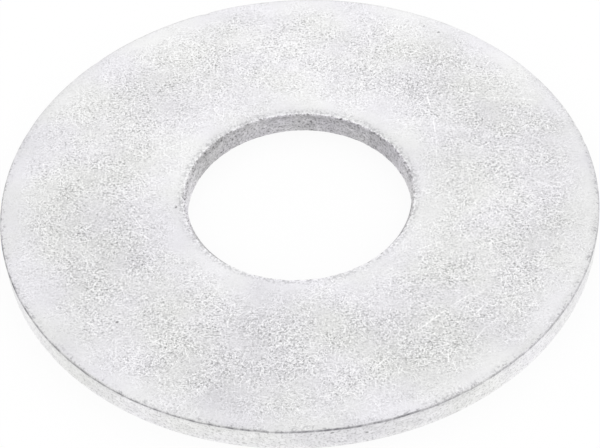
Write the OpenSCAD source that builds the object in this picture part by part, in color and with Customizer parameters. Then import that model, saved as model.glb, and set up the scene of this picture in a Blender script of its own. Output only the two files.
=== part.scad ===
// Large-diameter flat washer (penny washer) for an M12 bolt.
// A single ring blanked from steel strip in one stroke of a compound die and then zinc
// plated. The die leaves its mark on every edge. The sheet is drawn down in a wide shallow
// roll next to both edges of the upper face, each cut starts as a straight burnished land,
// and below it the metal has torn away on a slight slope down to the burr side, where
// tumbling has broken the sharp corners. In the bore a short lead-in narrows from the roll
// to the land.
//
// Frame: origin at the centre of the lower face, +Z up along the bore, millimetres.

/* [Disc] */
// Outside diameter of the washer
outer_d = 35; // [28:0.5:60]
// Thickness of the strip that it is blanked from
thickness = 1.6; // [1.2:0.1:4]

/* [Bore] */
// Diameter of the bolt hole, taken on its burnished land
bore_d = 13.3; // [8:0.1:18]

/* [Outer edge] */
// How far the roll reaches in from the outside diameter
outer_roll_w = 1.2; // [0.4:0.05:2.5]
// How far the roll drops below the upper face at the outside diameter
outer_roll_h = 0.10; // [0.02:0.01:0.25]
// Height of the burnished land under the outer roll
outer_land_h = 0.55; // [0.3:0.05:0.8]
// How far the torn part of the outer edge leans in by the time it reaches the lower face
outer_tear_w = 0.04; // [0.01:0.01:0.15]

/* [Bore edge] */
// How far the roll reaches out from the lip of the bore
bore_roll_w = 1.1; // [0.4:0.05:2.5]
// How far the roll drops below the upper face at the lip
bore_roll_h = 0.09; // [0.02:0.01:0.25]
// How far the lead-in under the lip narrows the bore before the land starts
bore_lead_w = 0.12; // [0.02:0.01:0.25]
// Height of the lead-in
bore_lead_h = 0.30; // [0.1:0.05:0.4]
// Height of the burnished land under the lead-in, which is what a bolt meets
bore_land_h = 0.50; // [0.3:0.05:0.6]
// How far the torn part of the bore opens out by the time it reaches the lower face
bore_tear_w = 0.03; // [0.01:0.01:0.15]

/* [Burr side] */
// Radius of the broken corners on the lower face
corner_r = 0.06; // [0.02:0.01:0.12]

/* [Smoothness] */
// Facets round the washer in a preview
round_steps = 240; // [60:12:480]
// Facets across each roll
roll_steps = 12; // [4:1:24]
// Facets across each broken corner
corner_steps = 4; // [2:1:8]

/* [Hidden] */

outer_r = outer_d / 2;
bore_r = bore_d / 2;
// radii of the two torn edges where they meet the lower face
outer_foot_r = outer_r - outer_tear_w;
bore_foot_r = bore_r + bore_tear_w;
// radius of the lip, where the bore's roll ends and its lead-in starts
bore_lip_r = bore_r + bore_lead_w;
// heights where the rolls end, and where the lands give way to the torn metal
outer_roll_z = thickness - outer_roll_h;
outer_land_z = outer_roll_z - outer_land_h;
bore_roll_z = thickness - bore_roll_h;
bore_lead_z = bore_roll_z - bore_lead_h;
bore_land_z = bore_lead_z - bore_land_h;

// Points of an arc from angle a0 to a1 about centre c, with half-axes w and h.
function arc(c, w, h, a0, a1, steps) = [
    for (i = [0:steps])
        let (a = a0 + (a1 - a0) * i / steps)
        c + [w * cos(a), h * sin(a)]
];

// Half of the washer's cross-section, radius across and height up. It runs anticlockwise
// from the corner between the bore and the lower face.
module section_profile() {
    bore_corner = arc([bore_foot_r + corner_r, corner_r], corner_r, corner_r, 180, 270,
                      corner_steps);
    outer_corner = arc([outer_foot_r - corner_r, corner_r], corner_r, corner_r, 270, 360,
                       corner_steps);
    outer_land = [[outer_r, outer_land_z]];
    outer_roll = arc([outer_r - outer_roll_w, outer_roll_z], outer_roll_w, outer_roll_h,
                     0, 90, roll_steps);
    bore_roll = arc([bore_lip_r + bore_roll_w, bore_roll_z], bore_roll_w, bore_roll_h,
                    90, 180, roll_steps);
    bore_land = [[bore_r, bore_lead_z], [bore_r, bore_land_z]];
    polygon(concat(bore_corner, outer_corner, outer_land, outer_roll, bore_roll, bore_land));
}

// The washer itself: the section turned about the bore's axis.
module flat_washer() {
    color("gainsboro")
        rotate_extrude($fn = round_steps)
            section_profile();
}

flat_washer();
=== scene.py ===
import math

import bpy
import numpy as np
from mathutils import Matrix, Vector


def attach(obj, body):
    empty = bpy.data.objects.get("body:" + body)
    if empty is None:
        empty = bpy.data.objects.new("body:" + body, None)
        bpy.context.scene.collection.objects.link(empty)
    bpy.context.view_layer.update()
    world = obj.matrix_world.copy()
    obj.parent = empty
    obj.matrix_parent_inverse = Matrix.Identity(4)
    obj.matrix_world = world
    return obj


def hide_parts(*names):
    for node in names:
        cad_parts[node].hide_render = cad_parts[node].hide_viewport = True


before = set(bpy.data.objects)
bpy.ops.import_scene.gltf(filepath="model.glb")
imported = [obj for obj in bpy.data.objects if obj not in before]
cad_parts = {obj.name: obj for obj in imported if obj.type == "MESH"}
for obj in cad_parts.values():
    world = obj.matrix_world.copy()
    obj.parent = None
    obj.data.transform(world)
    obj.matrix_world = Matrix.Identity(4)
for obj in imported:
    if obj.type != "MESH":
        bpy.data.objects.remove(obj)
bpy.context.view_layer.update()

# ---------------------------------------------------------------------------------------------
# Flat washer.
# A ring of cold-rolled steel strip, blanked and pierced in one stroke of a compound die, then
# tumbled in a barrel to break its burrs, and electroplated with bright zinc under a clear
# passivate. It is one loose piece, and lies on its burr side.
# ---------------------------------------------------------------------------------------------
MM = 0.001

# the section, in millimetres, as in the solid
THICKNESS = 1.6
OUTER_R = 17.5
BORE_R = 6.65
OUTER_ROLL_W, OUTER_ROLL_H = 1.2, 0.10
BORE_ROLL_W, BORE_ROLL_H = 1.1, 0.09
BORE_LEAD_W, BORE_LEAD_H = 0.12, 0.30
OUTER_LAND_H, BORE_LAND_H = 0.55, 0.50
OUTER_TEAR_W, BORE_TEAR_W = 0.04, 0.03
CORNER_R = 0.06
STEPS_ROUND = 960


def arc(middle, half_width, half_height, start, stop, count):
    """Points on a part of an ellipse: the middle plus (half width times cos a, half height times
    sin a), with a in even steps from start to stop, in degrees, both ends included."""
    a = np.radians(np.linspace(start, stop, count))
    return np.column_stack([middle[0] + half_width * np.cos(a), middle[1] + half_height * np.sin(a)])


def between(start, stop, count, lean=1.0):
    """Points inside a straight run, without its ends: start plus t to the power lean times
    (stop - start), with t in even steps, so that a lean above 1 crowds them near the start."""
    t = (np.arange(1, count + 1)[:, None] / (count + 1)) ** lean
    return np.array(start) + t * (np.array(stop) - np.array(start))


def washer_section():
    """The closed outline of half of the section, radius and height, anticlockwise from the corner
    between the bore and the lower face: corner, lower face, corner, torn edge, burnished land,
    roll, upper face, bore roll, lead-in, bore land, torn bore."""
    outer_foot = OUTER_R - OUTER_TEAR_W
    bore_foot = BORE_R + BORE_TEAR_W
    outer_top = (OUTER_R, THICKNESS - OUTER_ROLL_H)
    outer_break = (OUTER_R, THICKNESS - OUTER_ROLL_H - OUTER_LAND_H)
    bore_top = (BORE_R + BORE_LEAD_W, THICKNESS - BORE_ROLL_H)
    bore_lead = (BORE_R, THICKNESS - BORE_ROLL_H - BORE_LEAD_H)
    bore_break = (BORE_R, THICKNESS - BORE_ROLL_H - BORE_LEAD_H - BORE_LAND_H)
    upper_out = (OUTER_R - OUTER_ROLL_W, THICKNESS)
    upper_in = (BORE_R + BORE_LEAD_W + BORE_ROLL_W, THICKNESS)
    return np.vstack([
        arc((bore_foot + CORNER_R, CORNER_R), CORNER_R, CORNER_R, 180, 270, 5),
        between((bore_foot + CORNER_R, 0), (outer_foot - CORNER_R, 0), 15),
        arc((outer_foot - CORNER_R, CORNER_R), CORNER_R, CORNER_R, 270, 360, 5),
        between((outer_foot, CORNER_R), outer_break, 6),
        [outer_break],
        between(outer_top, outer_break, 7, 1.5)[::-1],
        arc((upper_out[0], outer_top[1]), OUTER_ROLL_W, OUTER_ROLL_H, 0, 90, 16),
        between(upper_out, upper_in, 18),
        arc((upper_in[0], bore_top[1]), BORE_ROLL_W, BORE_ROLL_H, 90, 180, 14),
        between(bore_top, bore_lead, 3, 1.5),
        [bore_lead],
        between(bore_lead, bore_break, 2),
        [bore_break],
        between(bore_break, (bore_foot, CORNER_R), 5),
    ])


def ripple(points, wavelength, seed, waves=40):
    """A smooth random field over points in space, about -1 to 1: the sum of that many cosine
    waves in random directions and phases, each of about that wavelength."""
    draw = np.random.default_rng(seed)
    heading = draw.normal(size=(3, waves))
    heading /= np.linalg.norm(heading, axis=0)
    pitch = 2 * np.pi / (wavelength * draw.uniform(0.75, 1.35, waves))
    phase = draw.uniform(0, 2 * np.pi, waves)
    return np.cos(points @ (heading * pitch) + phase).sum(1) / math.sqrt(waves)


def fade(x, low, high):
    """0 below low, 1 above high, and 3 t squared minus 2 t cubed in between."""
    t = np.clip((x - low) / (high - low), 0, 1)
    return t * t * (3 - 2 * t)


def ring_of(section, steps):
    """The section turned about the bore's axis: at angle a, a point of the section (r, z) goes to
    (r cos a, r sin a, z). Returns the points as an array of steps by rows by 3."""
    a = np.arange(steps) * 2 * np.pi / steps
    r, z = section[:, 0], section[:, 1]
    return np.stack([np.outer(np.cos(a), r), np.outer(np.sin(a), r), np.tile(z, (steps, 1))], axis=2)


def ring_faces(steps, rows):
    """Four-sided faces of a grid that is closed both ways, turned so that they face outwards."""
    i, j = np.meshgrid(np.arange(steps), np.arange(rows), indexing="ij")
    i2, j2 = (i + 1) % steps, (j + 1) % rows
    return np.stack([i * rows + j, i2 * rows + j, i2 * rows + j2, i * rows + j2], axis=2).reshape(-1, 4)


section = washer_section()
ring = ring_of(section, STEPS_ROUND)
rows = len(section)
spots = ring.reshape(-1, 3)
radius = np.tile(section[:, 0], STEPS_ROUND)
height = np.tile(section[:, 1], STEPS_ROUND)

# which part of the section each point is on, from 0 to 1
around = np.arctan2(spots[:, 1], spots[:, 0])
on_upper = fade(height, 1.48, 1.505) * fade(radius, 6.75, 6.775)
on_lower = 1 - fade(height, 0.01, 0.05)
on_rim = fade(radius, 17.40, 17.45) * (1 - on_lower)
in_bore = 1 - fade(radius, 6.771, 6.80)

# The die leaves the torn metal streaked up and down, and the burnished lands faintly scored.
# All the relief is in millimetres and stays inside the solid's box. It is cut into the metal,
# but a few streaks stand about a hundredth proud of the torn slope.
TORN_DEPTH, TORN_STREAK = 0.010, 0.008
LAND_DEPTH, LAND_SCORE = 0.003, 0.0016
torn_outer = on_rim * (1 - fade(height, 0.80, 1.02))
torn_bore = in_bore * (1 - fade(height, 0.60, 0.78))
streaks = ripple(spots * (1, 1, 0.25), 0.45, 11) + 0.6 * ripple(spots * (1, 1, 0.5), 0.22, 12)
scoring = ripple(spots * (1, 1, 0.03), 0.5, 13)
torn_cut = TORN_DEPTH + TORN_STREAK * streaks
land_cut = LAND_DEPTH + LAND_SCORE * scoring
outer_cut = torn_outer * torn_cut + on_rim * land_cut
bore_cut = torn_bore * torn_cut + in_bore * land_cut

# the lip of the bore is crumbly, where the punch broke it and the barrel knocked it
LIP_R, LIP_HEIGHT, LIP_REACH = 6.77, 1.51, 0.06
LIP_WEAR, LIP_CRUMBLE = 0.014, 0.030
lip = np.exp(-(((height - LIP_HEIGHT) / LIP_REACH) ** 2) - ((radius - LIP_R) / LIP_REACH) ** 2)
crumble = ripple(spots * (1, 1, 0), 0.36, 17) + 0.8 * ripple(spots * (1, 1, 0), 0.20, 18)
bore_cut += lip * np.maximum(LIP_WEAR + LIP_CRUMBLE * crumble, 0)
inwards = np.stack([-np.cos(around), -np.sin(around), np.zeros(len(spots))], axis=1)
ring_points = spots + inwards * (outer_cut - bore_cut)[:, None]

# the two faces are flat only to a few thousandths; which_face is 1 on the upper, -1 on the lower
WAVE_DEPTH, WAVE_LONG, WAVE_SHORT = 0.003, 0.0025, 0.0012
waves = WAVE_DEPTH + WAVE_LONG * ripple(spots, 5.0, 14) + WAVE_SHORT * ripple(spots, 1.3, 15)
which_face = fade(height, 0.4, 1.2) * 2 - 1
ring_points[:, 2] -= np.maximum(waves, 0) * which_face

# The punch leans a little, and leaves the bore slightly oval below its lip. The wall drawn here
# so lies up to 0.13 inside the round bore of the solid at the left, and up to 0.21 outside it at
# the back. The solid keeps the true bore, which a bolt meets.
BORE_OVAL = 0.06
BORE_LEAN = (0.03, 0.13)
below_lip = in_bore * (1 - fade(height, 1.10, 1.50))
ring_points += inwards * (below_lip * BORE_OVAL * np.cos(2 * around))[:, None]
ring_points[:, :2] += below_lip[:, None] * BORE_LEAN

# pits and dings from other washers in the barrel: each one a smooth round dent
draw = np.random.default_rng(21)
DINGS = 260
ding_angle = draw.uniform(0, 2 * np.pi, DINGS)
ding_r = np.sqrt(draw.uniform(7.2**2, 17.3**2, DINGS))
ding_size = draw.uniform(0.16, 0.42, DINGS)
ding_depth = draw.uniform(0.003, 0.012, DINGS)
ding_side = np.where(draw.random(DINGS) < 0.5, 1.0, -1.0)
for angle, r, size, depth, side in zip(ding_angle, ding_r, ding_size, ding_depth, ding_side):
    dx = ring_points[:, 0] - r * np.cos(angle)
    dy = ring_points[:, 1] - r * np.sin(angle)
    dent = depth * np.exp(-(dx * dx + dy * dy) / size**2)
    ring_points[:, 2] -= side * dent * (which_face * side > 0.9)

# nicks on the outer shoulder, where washers knock edge to edge: the first three, at the front,
# are placed, and the others fall where they may
NICKS = 14
NICK_HEIGHT = 0.10
PLACED_NICKS = (-56.4, -108.0, -100.0)
PLACED_DEPTHS = (0.035, 0.025, 0.020)
nick_angle = draw.uniform(0, 2 * np.pi, NICKS)
nick_size = draw.uniform(0.12, 0.35, NICKS)
nick_depth = draw.uniform(0.008, 0.030, NICKS)
nick_angle[:3] = np.radians(PLACED_NICKS)
nick_size[:3] = 0.30
nick_depth[:3] = PLACED_DEPTHS
for angle, size, depth in zip(nick_angle, nick_size, nick_depth):
    dx = spots[:, 0] - OUTER_R * np.cos(angle)
    dy = spots[:, 1] - OUTER_R * np.sin(angle)
    dz = spots[:, 2] - (THICKNESS - OUTER_ROLL_H)
    dent = depth * np.exp(-(dx * dx + dy * dy) / size**2 - (dz / NICK_HEIGHT) ** 2)
    ring_points += inwards * dent[:, None]
    ring_points[:, 2] -= 0.5 * dent

washer_mesh = bpy.data.meshes.new("flat_washer_plated")
washer_mesh.from_pydata((ring_points * MM).tolist(), [], ring_faces(STEPS_ROUND, rows).tolist())
washer_mesh.polygons.foreach_set("use_smooth", np.ones(len(washer_mesh.polygons), bool))

# How far each finish reaches, kept on the points for the material. The flats are rubbed. Crumbs
# gather at the lip of the bore, with painted glints between them. Soil with painted shade lies along
# the outer shoulder, but not at the back, where light falls on it, and a thin dark line, partly dull
# zinc in the shear groove and partly painted shade, runs below it and wanders up and down a little.
# x_mm runs to the right and y_mm to the back.
x_mm, y_mm = spots[:, 0], spots[:, 1]
rub = fade(radius, 7.3, 10.8) * (1 - fade(radius, 13.8, 17.2))
flat = np.maximum(on_upper * rub, on_lower * rub)
chips = on_upper * fade(radius, 6.80, 6.91) * (1 - fade(radius, 6.94, 7.36))
chips += 0.35 * on_upper * (1 - fade(radius, 6.82, 6.92)) * fade(np.cos(around), 0.6, 0.95)
# where the painted glints, highlights between the crumbs at the lip, reach
lip_edge = in_bore * fade(height, 1.36, 1.48) + on_upper * (1 - fade(radius, 6.80, 6.92))
to_front = 1 - fade(np.sin(around), 0.2, 0.85)
# soil and painted shade along the outer shoulder, kept off the back, where the light falls
soil_and_shade = on_upper * fade(radius, 16.98, 17.50) * to_front
LINE_HEIGHT, LINE_REACH = 1.495, 0.055
LINE_DIP, LINE_WANDER = 0.022, 0.010
line_height = LINE_HEIGHT - LINE_DIP * np.exp(-(((around + 2.12) / 0.35) ** 2))
line_height += LINE_WANDER * ripple(spots * (1, 1, 0), 1.6, 16)
shoulder = on_rim * np.exp(-(((height - line_height) / LINE_REACH) ** 2))
# painted shade: the dark line fades at the back and on the right, where the light falls on the shoulder
shoulder *= 1 - 0.65 * fade(np.sin(around), -0.15, 0.35)
shoulder *= 1.12 - 0.34 * fade(x_mm, 1.0, 10.0)

# painted light and shade: how much paler the zinc is painted from place to place, as a share, or darker
# where it is below 0, to stand for how light falls on it
under_line = on_rim * np.exp(-(((height - 1.38) / 0.09) ** 2)) * to_front
lead_in = in_bore * np.exp(-(((height - 1.28) / 0.12) ** 2))
foot = 1 - fade(height, 0.06, 0.30)
bore_sides = in_bore * fade(np.abs(np.cos(around)), 0.84, 1.0)
near_bore = on_upper * (1 - fade(radius, 8.0, 12.0))
outer_band = on_upper * fade(radius, 15.5, 17.0)
outer_brim = on_upper * fade(radius, 16.6, 17.0)
PAINTED_LIGHT_AND_SHADE = (
    # painted light and shade in the bore: a darker lead-in, a paler foot and top, and paler right and left
    # sides
    (lead_in, -0.12),
    (in_bore * foot, 0.08),
    (in_bore * fade(height, 1.40, 1.50), 0.08),
    (bore_sides * (x_mm > 0), 0.18),
    (bore_sides * (x_mm <= 0), 0.40),
    # painted light on the rim's foot and right side, and painted shade in the strip under the line
    (on_rim * foot, 0.06),
    (on_rim * fade(x_mm, 4.0, 15.0), 0.06),
    (under_line, -0.04),
    # painted light on the upper face: paler at its back, before the bore and along its front edge, and
    # painted shade near the outer edge and on its right
    (on_upper * fade(y_mm, 1.0, 12.0), 0.05),
    (on_upper * rub * fade(y_mm, 8.0, 12.0), 0.03),
    (near_bore * (1 - fade(y_mm, -8.0, -2.0)), 0.018),
    (outer_band * (1 - fade(y_mm, -8.0, 4.0)), 0.045),
    (outer_brim * fade(-np.sin(around), 0.70, 0.95), 0.035),
    (on_upper * fade(radius, 15.0, 16.5), -0.015),
    (on_upper * (1 - fade(radius, 16.5, 17.0)) * fade(x_mm, 6.0, 9.0), -0.02),
)
painted_light_and_shade = 1 + sum(share * where for where, share in PAINTED_LIGHT_AND_SHADE)

for name, values in {
    "flat": flat,
    "chips": chips,
    "soil_and_shade": soil_and_shade,
    "shoulder": shoulder,
    "lip": lip_edge,
    "painted_light_and_shade": painted_light_and_shade,
    "bore": in_bore,
    "rim": on_rim,
}.items():
    layer = washer_mesh.attributes.new(name, "FLOAT", "POINT")
    layer.data.foreach_set("value", values.astype(np.float32))
washer_mesh.update()

washer = bpy.data.objects.new("flat_washer_plated", washer_mesh)
bpy.context.scene.collection.objects.link(washer)


def add(tree, kind, inputs=None, **settings):
    """Adds one node to the tree, sets its own settings, and fills its sockets by name or number:
    a socket of another node is linked, and anything else is set as the value."""
    node = tree.nodes.new(kind)
    for key, value in settings.items():
        setattr(node, key, value)
    for key, value in (inputs or {}).items():
        if isinstance(value, bpy.types.NodeSocket):
            tree.links.new(value, node.inputs[key])
        else:
            node.inputs[key].default_value = value
    return node.outputs


def linear(code):
    """An sRGB hex colour as linear red, green, blue and alpha: each part v is v/12.92 up to
    0.04045, and ((v + 0.055) / 1.055) to the power 2.4 above it."""
    parts = [int(code[k : k + 2], 16) / 255 for k in (1, 3, 5)]
    return [v / 12.92 if v <= 0.04045 else ((v + 0.055) / 1.055) ** 2.4 for v in parts] + [1.0]


# Bright zinc electroplate with a clear passivate, barrel tumbled: a pale satin metal, greyer and
# crazed with fine rubbed dashes where the flats touch other parts, smooth and paler on the rolled
# bands, paler on the rim with painted light, and dull and darker in the bore, where little zinc is
# thrown and painted shade of the recess is added.
zinc = bpy.data.materials.new("zinc_electroplate_tumbled")
zinc.use_nodes = True
tree = zinc.node_tree
tree.nodes.clear()

ZINC_FLAT = linear("#E2E2E3")
ZINC_BAND = linear("#E5E5E7")
# the rim's colour is paler than the zinc's own, as painted light
ZINC_RIM_AND_LIGHT = linear("#EDEDEE")
# the bore's colour is dull thin zinc with painted shade of the recess
ZINC_BORE_AND_SHADE = linear("#C6C5C8")
# the dark colour of soil, also used for painted shade along the outer shoulder and in its dark line
SOIL_AND_SHADE = linear("#7A797E")
TINT_BLUE = linear("#FEFDFF")
TINT_STRAW = linear("#FFFFFD")

# how far apart the marks of each pattern are, in millimetres
RAGGED, PATCH, BLOTCH, GRAIN, PIT = 2.5, 2.2, 0.7, 0.12, 0.15
SPECK, CLOUD, CRUMB, DIRT_AND_SHADE = 0.15, 0.6, 0.16, 0.5
TINT, HAZE = 6.0, 8.0

place = add(tree, "ShaderNodeTexCoord")["Object"]
place = add(tree, "ShaderNodeVectorMath", {0: place, "Scale": 1 / MM}, operation="SCALE")[0]
height_mm = add(tree, "ShaderNodeSeparateXYZ", {0: place})["Z"]
on_bore = add(tree, "ShaderNodeAttribute", attribute_name="bore")["Fac"]
on_rim_wall = add(tree, "ShaderNodeAttribute", attribute_name="rim")["Fac"]
# the patterns are drawn on flat sheets: across the faces, and unrolled round the two walls. On
# the faces they are squeezed a little from front to back, and the lower face takes a part of the
# sheet that lies well away from the part that the upper face takes, in millimetres.
SQUEEZE = (1.0, 1.14, 0)
UNDER_SHIFT = (50, 0, 0)
axes = add(tree, "ShaderNodeSeparateXYZ", {0: place})
turned = add(tree, "ShaderNodeMath", {0: axes["Y"], 1: -1.0}, operation="MULTIPLY")[0]
turned = add(tree, "ShaderNodeMath", {0: axes["X"], 1: turned}, operation="ARCTAN2")[0]
out = add(tree, "ShaderNodeVectorMath", {0: place, 1: (1, 1, 0)}, operation="MULTIPLY")[0]
out = add(tree, "ShaderNodeVectorMath", {0: out}, operation="LENGTH")["Value"]
turned = add(tree, "ShaderNodeMath", {0: turned, 1: out}, operation="MULTIPLY")[0]
unrolled = add(tree, "ShaderNodeCombineXYZ", {0: turned, 1: height_mm, 2: 0.0})[0]
under = add(tree, "ShaderNodeMath", {0: height_mm, 1: 0.3}, operation="LESS_THAN")[0]
under = add(tree, "ShaderNodeCombineXYZ", {0: under})[0]
sheet = add(tree, "ShaderNodeVectorMath", {0: place, 1: SQUEEZE}, operation="MULTIPLY")[0]
sheet = {0: under, 1: UNDER_SHIFT, 2: sheet}
sheet = add(tree, "ShaderNodeVectorMath", sheet, operation="MULTIPLY_ADD")[0]
on_walls = add(tree, "ShaderNodeMath", {0: on_bore, 1: on_rim_wall}, operation="ADD")[0]
on_walls = add(tree, "ShaderNodeMath", {0: on_walls, 1: 0.5}, operation="GREATER_THAN")[0]
sheet = add(tree, "ShaderNodeMix", {"Factor": on_walls, 4: sheet, 5: unrolled}, data_type="VECTOR")[1]

on_flat = add(tree, "ShaderNodeAttribute", attribute_name="flat")["Fac"]
on_soil_and_shade = add(tree, "ShaderNodeAttribute", attribute_name="soil_and_shade")["Fac"]
on_chips = add(tree, "ShaderNodeAttribute", attribute_name="chips")["Fac"]
painted_light_and_shade_fac = add(tree, "ShaderNodeAttribute", attribute_name="painted_light_and_shade")["Fac"]
on_shoulder = add(tree, "ShaderNodeAttribute", attribute_name="shoulder")["Fac"]
on_lip = add(tree, "ShaderNodeAttribute", attribute_name="lip")["Fac"]

# broad clouds break up the edge of the rubbed flat
RAGGED_SHARE = 0.8
ragged = add(tree, "ShaderNodeTexNoise", {"Vector": place, "Scale": 1 / RAGGED, "Detail": 3.0})["Fac"]
ragged = add(tree, "ShaderNodeMath", {0: ragged, 1: 0.5}, operation="SUBTRACT")[0]
ragged = add(tree, "ShaderNodeMath", {0: ragged, 1: RAGGED_SHARE, 2: on_flat}, operation="MULTIPLY_ADD")[0]
rubbed = add(tree, "ShaderNodeMapRange", {0: ragged, 1: 0.0, 2: 1.0})[0]

# burnished dashes, one for each cell and turned at random: of the bright ones the brightest
# shows, and the dark ones are laid over. Cell, half length and half width in millimetres, and
# strength. The finest real ones are likely thinner, and these are as wide as it takes to show.
DASHES = (
    (0.18, 0.11, 0.024, 0.98),
    (0.29, 0.19, 0.024, 0.88),
    (0.45, 0.32, 0.025, 0.95),
    (0.75, 0.50, 0.027, 0.85),
    (1.50, 0.85, 0.028, 0.65),
    (0.16, 0.09, 0.028, -0.55),
    (0.36, 0.22, 0.026, -0.45),
)
DASHES_MEAN = 0.018
marks = 0.0
for cell, half_length, half_width, strength in DASHES:
    here = add(tree, "ShaderNodeVectorMath", {0: sheet, "Scale": 1 / cell}, operation="SCALE")[0]
    cells = add(tree, "ShaderNodeTexVoronoi", {"Vector": here, "Scale": 1.0}, voronoi_dimensions="2D")
    away = add(tree, "ShaderNodeVectorMath", {0: here, 1: cells["Position"]}, operation="SUBTRACT")[0]
    lots = add(tree, "ShaderNodeSeparateColor", {0: cells["Color"]})
    turn = add(tree, "ShaderNodeMath", {0: lots[0], 1: 2 * math.pi}, operation="MULTIPLY")[0]
    away = {"Vector": away, "Angle": turn}
    away = add(tree, "ShaderNodeVectorRotate", away, rotation_type="Z_AXIS")[0]
    shrink = (cell / half_length, cell / half_width, 0)
    away = add(tree, "ShaderNodeVectorMath", {0: away, 1: shrink}, operation="MULTIPLY")[0]
    away = add(tree, "ShaderNodeVectorMath", {0: away}, operation="LENGTH")["Value"]
    dash = add(tree, "ShaderNodeMapRange", {0: away, 1: 1.0, 2: 0.3})[0]
    shade = add(tree, "ShaderNodeMapRange", {0: lots[1], 3: 0.3 * strength, 4: strength})[0]
    dash = add(tree, "ShaderNodeMath", {0: dash, 1: shade}, operation="MULTIPLY")[0]
    join = "MAXIMUM" if strength > 0 else "ADD"
    marks = add(tree, "ShaderNodeMath", {0: marks, 1: dash}, operation=join)[0]
marks = add(tree, "ShaderNodeMath", {0: marks, 1: DASHES_MEAN}, operation="SUBTRACT")[0]

# fine grain of the plating, drawn coarser than the real crystals so that it shows, and pits
GRAIN_SHADE, PIT_SHADE, BLOTCH_SHADE = 0.80, -0.56, 0.46
grain = {"Vector": place, "Scale": 1 / GRAIN, "Detail": 2.0, "Roughness": 0.6}
grain = add(tree, "ShaderNodeTexNoise", grain)["Fac"]
grain = add(tree, "ShaderNodeMath", {0: grain, 1: 0.5}, operation="SUBTRACT")[0]
texture = add(tree, "ShaderNodeMath", {0: grain, 1: GRAIN_SHADE, 2: marks}, operation="MULTIPLY_ADD")[0]
pits = add(tree, "ShaderNodeTexNoise", {"Vector": sheet, "Scale": 1 / PIT, "Detail": 2.0})["Fac"]
pits = add(tree, "ShaderNodeMapRange", {0: pits, 1: 0.30, 2: 0.50, 3: PIT_SHADE, 4: 0.0})[0]
blotch = {"Vector": sheet, "Scale": 1 / BLOTCH, "Detail": 3.0, "Roughness": 0.6}
blotch = add(tree, "ShaderNodeTexNoise", blotch)["Fac"]
blotch = add(tree, "ShaderNodeMath", {0: blotch, 1: 0.5}, operation="SUBTRACT")[0]
pits = add(tree, "ShaderNodeMath", {0: blotch, 1: BLOTCH_SHADE, 2: pits}, operation="MULTIPLY_ADD")[0]
texture = add(tree, "ShaderNodeMath", {0: texture, 1: pits}, operation="ADD")[0]
# they are faint on the rolled bands and on the walls, and come and go in patches
BAND_DEPTH, RIM_DEPTH, BORE_DEPTH = 0.16, 0.18, 0.40
PATCH_LOW, PATCH_HIGH = 0.44, 1.26
depth = add(tree, "ShaderNodeMath", {0: rubbed, 1: 0.5}, operation="POWER")[0]
depth = add(tree, "ShaderNodeMapRange", {0: depth, 3: BAND_DEPTH, 4: 1.0})[0]
patches = {"Vector": sheet, "Scale": 1 / PATCH, "Detail": 4.0, "Roughness": 0.6}
patches = add(tree, "ShaderNodeTexNoise", patches)["Fac"]
patches = {0: patches, 1: 0.36, 2: 0.60, 3: PATCH_LOW, 4: PATCH_HIGH}
patches = add(tree, "ShaderNodeMapRange", patches)[0]
depth = add(tree, "ShaderNodeMath", {0: depth, 1: patches}, operation="MULTIPLY")[0]
on_face = add(tree, "ShaderNodeMath", {0: 1.0, 1: on_walls}, operation="SUBTRACT")[0]
depth = add(tree, "ShaderNodeMath", {0: depth, 1: on_face}, operation="MULTIPLY")[0]
depth = {0: on_rim_wall, 1: RIM_DEPTH, 2: depth}
depth = add(tree, "ShaderNodeMath", depth, operation="MULTIPLY_ADD")[0]
depth = add(tree, "ShaderNodeMath", {0: on_bore, 1: BORE_DEPTH, 2: depth}, operation="MULTIPLY_ADD")[0]
texture = add(tree, "ShaderNodeMath", {0: texture, 1: depth}, operation="MULTIPLY")[0]

# the walls are cloudy instead, with sparse dark specks, and most of all in the bore
RIM_SPECKS, BORE_SPECKS = 0.42, 0.85
SPECK_SHADE = -0.9
CLOUD_LOW, CLOUD_HIGH = -1.2, 1.32
specks = {"Vector": unrolled, "Scale": 1 / SPECK, "Detail": 2.0, "Roughness": 0.6}
specks = add(tree, "ShaderNodeTexNoise", specks)["Fac"]
specks = add(tree, "ShaderNodeMapRange", {0: specks, 1: 0.30, 2: 0.50, 3: SPECK_SHADE, 4: 0.0})[0]
drawn = add(tree, "ShaderNodeVectorMath", {0: unrolled, 1: (0.8, 1.2, 0)}, operation="MULTIPLY")[0]
cloud = {"Vector": drawn, "Scale": 1 / CLOUD, "Detail": 5.0, "Roughness": 0.8}
cloud = add(tree, "ShaderNodeTexNoise", cloud)["Fac"]
cloud = add(tree, "ShaderNodeMapRange", {0: cloud, 3: CLOUD_LOW, 4: CLOUD_HIGH})[0]
specks = add(tree, "ShaderNodeMath", {0: specks, 1: cloud}, operation="ADD")[0]
speckled = add(tree, "ShaderNodeMath", {0: on_rim_wall, 1: RIM_SPECKS}, operation="MULTIPLY")[0]
speckled = {0: on_bore, 1: BORE_SPECKS, 2: speckled}
speckled = add(tree, "ShaderNodeMath", speckled, operation="MULTIPLY_ADD")[0]
texture = {0: specks, 1: speckled, 2: texture}
texture = add(tree, "ShaderNodeMath", texture, operation="MULTIPLY_ADD")[0]

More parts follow.
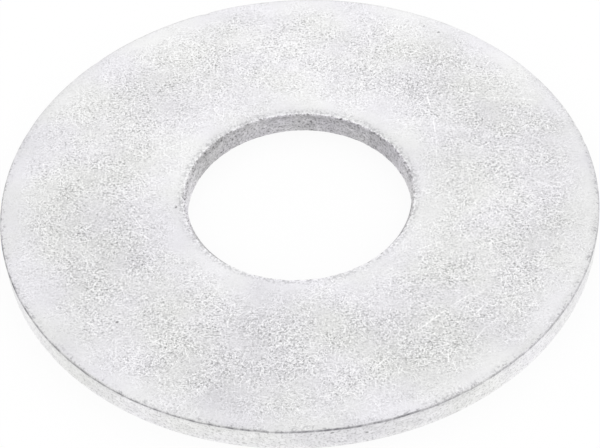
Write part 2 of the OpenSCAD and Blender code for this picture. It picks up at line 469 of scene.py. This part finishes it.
# single knocks and scratches: where, angle, half length, half width in millimetres, and shade
SCRATCHES = (
    (8.25, 7.31, -84, 1.15, 0.05, 0.30),
    (8.40, 5.13, -89, 1.15, 0.049, 0.30),
    (8.36, 2.94, -95, 1.10, 0.047, 0.14),
    (6.78, -10.46, 39, 1.65, 0.062, 0.33),
    (8.78, -8.91, 35, 0.94, 0.05, 0.22),
    (9.60, -9.80, 48, 0.83, 0.056, 0.34),
    (7.59, -11.50, -86, 0.72, 0.045, 0.24),
    (7.62, -12.95, -93, 0.80, 0.056, 0.26),
    (9.36, -11.66, 53, 0.85, 0.05, 0.24),
    (-10.61, 8.28, -37, 0.75, 0.056, 0.27),
    (-12.60, 1.11, -12, 0.67, 0.056, 0.28),
    (-11.29, 1.16, 11, 0.63, 0.056, 0.28),
    (-9.18, 12.21, -5, 0.95, 0.056, 0.17),
    (10.68, 7.84, -27, 0.82, 0.05, 0.25),
    (12.19, 7.21, -7, 0.91, 0.045, 0.14),
    (14.09, 6.93, -15, 1.01, 0.05, 0.16),
    (13.32, 5.63, 63, 0.95, 0.05, 0.17),
    (10.12, -0.28, -87, 2.23, 0.044, 0.14),
    (13.34, -2.06, 40, 0.92, 0.044, 0.21),
    (7.19, -4.78, 22, 0.79, 0.05, 0.25),
    (8.59, -4.72, -14, 0.72, 0.04, 0.12),
    (3.79, -13.27, 41, 0.84, 0.05, 0.25),
    (-12.23, -3.74, -51, 1.18, 0.044, 0.18),
    (-9.82, -8.27, -42, 1.03, 0.044, 0.21),
    (-10.44, -9.22, 20, 0.11, 0.085, -0.75),
    (8.54, 14.17, 60, 0.10, 0.075, -0.55),
    (9.41, 13.50, 10, 0.12, 0.09, -0.55),
    (-7.19, -0.60, 80, 0.13, 0.09, -0.60),
    (9.70, -14.63, 35, 0.30, 0.06, -0.26),
)
# the same on the rim, where x is the way round from the front and y is the height
RIM_KNOCKS = (
    (1.07, 1.26, 10, 0.15, 0.10, -0.39),
    (1.45, 1.33, 35, 0.18, 0.08, -0.24),
    (2.93, 0.86, -20, 0.14, 0.11, -0.42),
    (-3.68, 0.30, 0, 0.15, 0.09, -0.33),
    (-4.96, 1.10, 15, 0.14, 0.10, -0.24),
    (-9.01, 0.80, -30, 0.11, 0.09, -0.21),
    (5.91, 0.72, 20, 0.14, 0.09, -0.21),
)
on_top = add(tree, "ShaderNodeMapRange", {0: height_mm, 1: 0.8, 2: 0.9})[0]
knocks = 0.0
for drawn_on, reach, marked in ((place, on_top, SCRATCHES), (unrolled, on_rim_wall, RIM_KNOCKS)):
    for x, y, angle, half_length, half_width, shade in marked:
        spot = {
            "Vector": drawn_on,
            "Location": (x, y, 0),
            "Rotation": (0, 0, math.radians(angle)),
            "Scale": (half_length, half_width, 1000),
        }
        off = add(tree, "ShaderNodeMapping", spot, vector_type="TEXTURE")[0]
        off = add(tree, "ShaderNodeVectorMath", {0: off}, operation="LENGTH")["Value"]
        mark = add(tree, "ShaderNodeMapRange", {0: off, 1: 1.0, 2: 0.4, 4: shade})[0]
        mark = {0: mark, 1: reach, 2: knocks}
        knocks = add(tree, "ShaderNodeMath", mark, operation="MULTIPLY_ADD")[0]

# the metal's colour: paler on the rolled bands, paler on the rim with painted light, duller and
# darker in the bore with painted shade, and with the faint blue and straw of the passivate
colour = {"Factor": rubbed, 6: ZINC_BAND, 7: ZINC_FLAT}
colour = add(tree, "ShaderNodeMix", colour, data_type="RGBA")[2]
colour = {"Factor": on_rim_wall, 6: colour, 7: ZINC_RIM_AND_LIGHT}
colour = add(tree, "ShaderNodeMix", colour, data_type="RGBA")[2]
colour = {"Factor": on_bore, 6: colour, 7: ZINC_BORE_AND_SHADE}
colour = add(tree, "ShaderNodeMix", colour, data_type="RGBA")[2]
tint = add(tree, "ShaderNodeTexNoise", {"Vector": sheet, "Scale": 1 / TINT, "Detail": 3.0})["Fac"]
tint = add(tree, "ShaderNodeMapRange", {0: tint, 1: 0.40, 2: 0.60})[0]
tint = {"Factor": tint, 6: TINT_BLUE, 7: TINT_STRAW}
tint = add(tree, "ShaderNodeMix", tint, data_type="RGBA")[2]
colour = {"Factor": 1.0, 6: colour, 7: tint}
colour = add(tree, "ShaderNodeMix", colour, data_type="RGBA", blend_type="MULTIPLY")[2]

# light and dark: painted glints, highlights between the crumbs at the lip, all the texture, a broad
# haze, the knocks, and the painted light and shade by place
TEXTURE_SHADE, GLINT_SHADE = 0.71, 0.65
HAZE_LOW, HAZE_HIGH = 0.90, 1.10
crumbs = {"Vector": place, "Scale": 1 / CRUMB, "Detail": 2.0, "Roughness": 0.6}
crumbs = add(tree, "ShaderNodeTexNoise", crumbs)["Fac"]
crumbs = add(tree, "ShaderNodeMapRange", {0: crumbs, 1: 0.44, 2: 0.62})[0]
glints = add(tree, "ShaderNodeMath", {0: 0.5, 1: crumbs}, operation="SUBTRACT")[0]
glints = add(tree, "ShaderNodeMath", {0: glints, 1: on_lip}, operation="MULTIPLY")[0]
texture = {0: glints, 1: GLINT_SHADE, 2: texture}
texture = add(tree, "ShaderNodeMath", texture, operation="MULTIPLY_ADD")[0]
haze = {"Vector": sheet, "Scale": 1 / HAZE, "Detail": 5.0, "Roughness": 0.6}
haze = add(tree, "ShaderNodeTexNoise", haze)["Fac"]
haze = {0: haze, 1: 0.3, 2: 0.7, 3: HAZE_LOW, 4: HAZE_HIGH}
haze = add(tree, "ShaderNodeMapRange", haze)[0]
shade = {0: texture, 1: TEXTURE_SHADE, 2: haze}
shade = add(tree, "ShaderNodeMath", shade, operation="MULTIPLY_ADD")[0]
shade = add(tree, "ShaderNodeMath", {0: shade, 1: knocks}, operation="ADD")[0]
# the painted light and shade by place
shade = add(tree, "ShaderNodeMath", {0: shade, 1: painted_light_and_shade_fac}, operation="MULTIPLY")[0]
colour = add(tree, "ShaderNodeVectorMath", {0: colour, "Scale": shade}, operation="SCALE")[0]

# soil and painted shade: in patches along the outer shoulder, darker crumbs at the lip, and the dark line,
# which is partly painted shade
CRUMB_DARK = 0.38
SOIL_AND_SHADE_LOW, SOIL_AND_SHADE_HIGH = 0.02, 0.64
LINE_LOW, LINE_HIGH = 0.45, 1.05
dirt_and_shade = {"Vector": place, "Scale": 1 / DIRT_AND_SHADE, "Detail": 3.0, "Roughness": 0.7}
dirt_and_shade = add(tree, "ShaderNodeTexNoise", dirt_and_shade)["Fac"]
dirt_and_shade = add(tree, "ShaderNodeMapRange", {0: dirt_and_shade, 1: 0.35, 2: 0.65})[0]
soiled_and_shaded = add(tree, "ShaderNodeMath", {0: dirt_and_shade, 1: crumbs}, operation="ADD")[0]
soiled_and_shaded = {0: soiled_and_shaded, 1: 1.0, 2: 1.8, 3: SOIL_AND_SHADE_LOW, 4: SOIL_AND_SHADE_HIGH}
soiled_and_shaded = add(tree, "ShaderNodeMapRange", soiled_and_shaded)[0]
soiled_and_shaded = add(tree, "ShaderNodeMath", {0: on_soil_and_shade, 1: soiled_and_shaded}, operation="MULTIPLY")[0]
crumbs = add(tree, "ShaderNodeMath", {0: crumbs, 1: on_chips}, operation="MULTIPLY")[0]
soiled_and_shaded = {0: crumbs, 1: CRUMB_DARK, 2: soiled_and_shaded}
soiled_and_shaded = add(tree, "ShaderNodeMath", soiled_and_shaded, operation="MULTIPLY_ADD")[0]
line = add(tree, "ShaderNodeMapRange", {0: dirt_and_shade, 3: LINE_LOW, 4: LINE_HIGH})[0]
line = add(tree, "ShaderNodeMath", {0: line, 1: on_shoulder}, operation="MULTIPLY")[0]
soiled_and_shaded = add(tree, "ShaderNodeMath", {0: soiled_and_shaded, 1: line}, operation="MAXIMUM")[0]
colour = {"Factor": soiled_and_shaded, 6: colour, 7: SOIL_AND_SHADE}
colour = add(tree, "ShaderNodeMix", colour, data_type="RGBA")[2]

# the rolled bands are a little glossier than the rubbed flats, and the bore is the dullest
BAND_ROUGH, FLAT_ROUGH, BORE_ROUGH, GRAIN_ROUGH = 0.30, 0.42, 0.15, 0.15
RELIEF = 0.003
rough = add(tree, "ShaderNodeMapRange", {0: rubbed, 3: BAND_ROUGH, 4: FLAT_ROUGH})[0]
rough = add(tree, "ShaderNodeMath", {0: on_bore, 1: BORE_ROUGH, 2: rough}, operation="MULTIPLY_ADD")[0]
rough = add(tree, "ShaderNodeMath", {0: grain, 1: GRAIN_ROUGH, 2: rough}, operation="MULTIPLY_ADD")[0]
relief = {"Height": texture, "Strength": 1.0, "Distance": RELIEF * MM}
relief = add(tree, "ShaderNodeBump", relief)[0]

metal = {"Base Color": colour, "Metallic": 1.0, "Roughness": rough, "Normal": relief}
metal = add(tree, "ShaderNodeBsdfPrincipled", metal)[0]
add(tree, "ShaderNodeOutputMaterial", {"Surface": metal})
washer_mesh.materials.append(zinc)

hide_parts("flat_washer")
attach(washer, "root")

# ---------------------------------------------------------------------------------------------
# Studio.
# A white sweep, large enough to have no edge in any view, a white room, and two soft lamps.
# ---------------------------------------------------------------------------------------------
FLOOR_HALF = 3.0

floor_mesh = bpy.data.meshes.new("studio_floor")
floor_corners = [
    (-FLOOR_HALF, -FLOOR_HALF, 0),
    (FLOOR_HALF, -FLOOR_HALF, 0),
    (FLOOR_HALF, FLOOR_HALF, 0),
    (-FLOOR_HALF, FLOOR_HALF, 0),
]
floor_mesh.from_pydata(floor_corners, [], [(0, 1, 2, 3)])
floor = bpy.data.objects.new("studio_floor", floor_mesh)
bpy.context.scene.collection.objects.link(floor)

# White paper: it takes the washer's shadow, and otherwise reads as plain white.
paper = bpy.data.materials.new("white_paper_matt")
paper.use_nodes = True
tree = paper.node_tree
tree.nodes.clear()
PAPER_WHITE = linear("#FFFFFF")
# how much of the washer's shadow the paper shows
SHADOW_SHARE = 0.12
rays = add(tree, "ShaderNodeLightPath")
seen = {0: rays["Is Camera Ray"], 1: rays["Is Glossy Ray"]}
seen = add(tree, "ShaderNodeMath", seen, operation="ADD")[0]
seen = {0: seen, 1: rays["Is Transmission Ray"]}
seen = add(tree, "ShaderNodeMath", seen, operation="ADD", use_clamp=True)[0]
seen = add(tree, "ShaderNodeMath", {0: seen, 1: 1 - SHADOW_SHARE}, operation="MULTIPLY")[0]
matt = add(tree, "ShaderNodeBsdfDiffuse", {"Color": PAPER_WHITE})[0]
white = add(tree, "ShaderNodeEmission", {"Color": (1, 1, 1, 1), "Strength": 1.0})[0]
surface = add(tree, "ShaderNodeMixShader", {0: seen, 1: matt, 2: white})[0]
add(tree, "ShaderNodeOutputMaterial", {"Surface": surface})
floor_mesh.materials.append(paper)

# the white room
room = bpy.data.worlds.new("white_room")
room.use_nodes = True
tree = room.node_tree
tree.nodes.clear()
glow = add(tree, "ShaderNodeBackground", {"Color": (1, 1, 1, 1), "Strength": 1.0})[0]
add(tree, "ShaderNodeOutputWorld", {"Surface": glow})
bpy.context.scene.world = room

# soft boxes: name, azimuth and height in degrees, distance, side length in metres, power in watts
SOFT_BOXES = (
    ("soft_box_back", -5.0, 36.0, 0.30, 0.16, 0.0120),
    ("soft_box_right", 282.0, 22.0, 0.30, 0.20, 0.0050),
)
for name, azimuth, up, distance, side, power in SOFT_BOXES:
    lamp = bpy.data.lights.new(name, "AREA")
    lamp.shape = "SQUARE"
    lamp.size = side
    lamp.energy = power
    box = bpy.data.objects.new(name, lamp)
    a, e = math.radians(azimuth), math.radians(up)
    outwards = Vector((-math.sin(a) * math.cos(e), math.cos(a) * math.cos(e), math.sin(e)))
    box.location = outwards * distance
    box.rotation_mode = "QUATERNION"
    box.rotation_quaternion = outwards.to_track_quat("Z", "Y")
    bpy.context.scene.collection.objects.link(box)

# ---------------------------------------------------------------------------------------------
# Camera.
# It looks down on the washer from the front, a short hand's length away, tipped a little.
# ---------------------------------------------------------------------------------------------
CAMERA_UP = 46.594
CAMERA_TIP = -3.159
CAMERA_DISTANCE = 117.15 * MM
CAMERA_TARGET = Vector((-0.012 * MM, -1.006 * MM, 0))
SENSOR = 36.0
LENS = 119.43
CLIP_START, CLIP_END = 0.005, 10.0

up, tip = math.radians(CAMERA_UP), math.radians(CAMERA_TIP)
back = Vector((0, -math.cos(up), math.sin(up)))
level_right = Vector((1, 0, 0))
level_up = Vector((0, math.sin(up), math.cos(up)))
right = math.cos(tip) * level_right + math.sin(tip) * level_up
upward = -math.sin(tip) * level_right + math.cos(tip) * level_up
where = CAMERA_TARGET + back * CAMERA_DISTANCE

camera_data = bpy.data.cameras.new("camera")
camera_data.sensor_width = SENSOR
camera_data.lens = LENS
camera_data.clip_start = CLIP_START
camera_data.clip_end = CLIP_END
camera = bpy.data.objects.new("camera", camera_data)
bpy.context.scene.collection.objects.link(camera)
camera.matrix_world = Matrix((
    (right.x, upward.x, back.x, where.x),
    (right.y, upward.y, back.y, where.y),
    (right.z, upward.z, back.z, where.z),
    (0, 0, 0, 1),
))
bpy.context.scene.camera = camera
bpy.context.scene.view_settings.view_transform = "Standard"
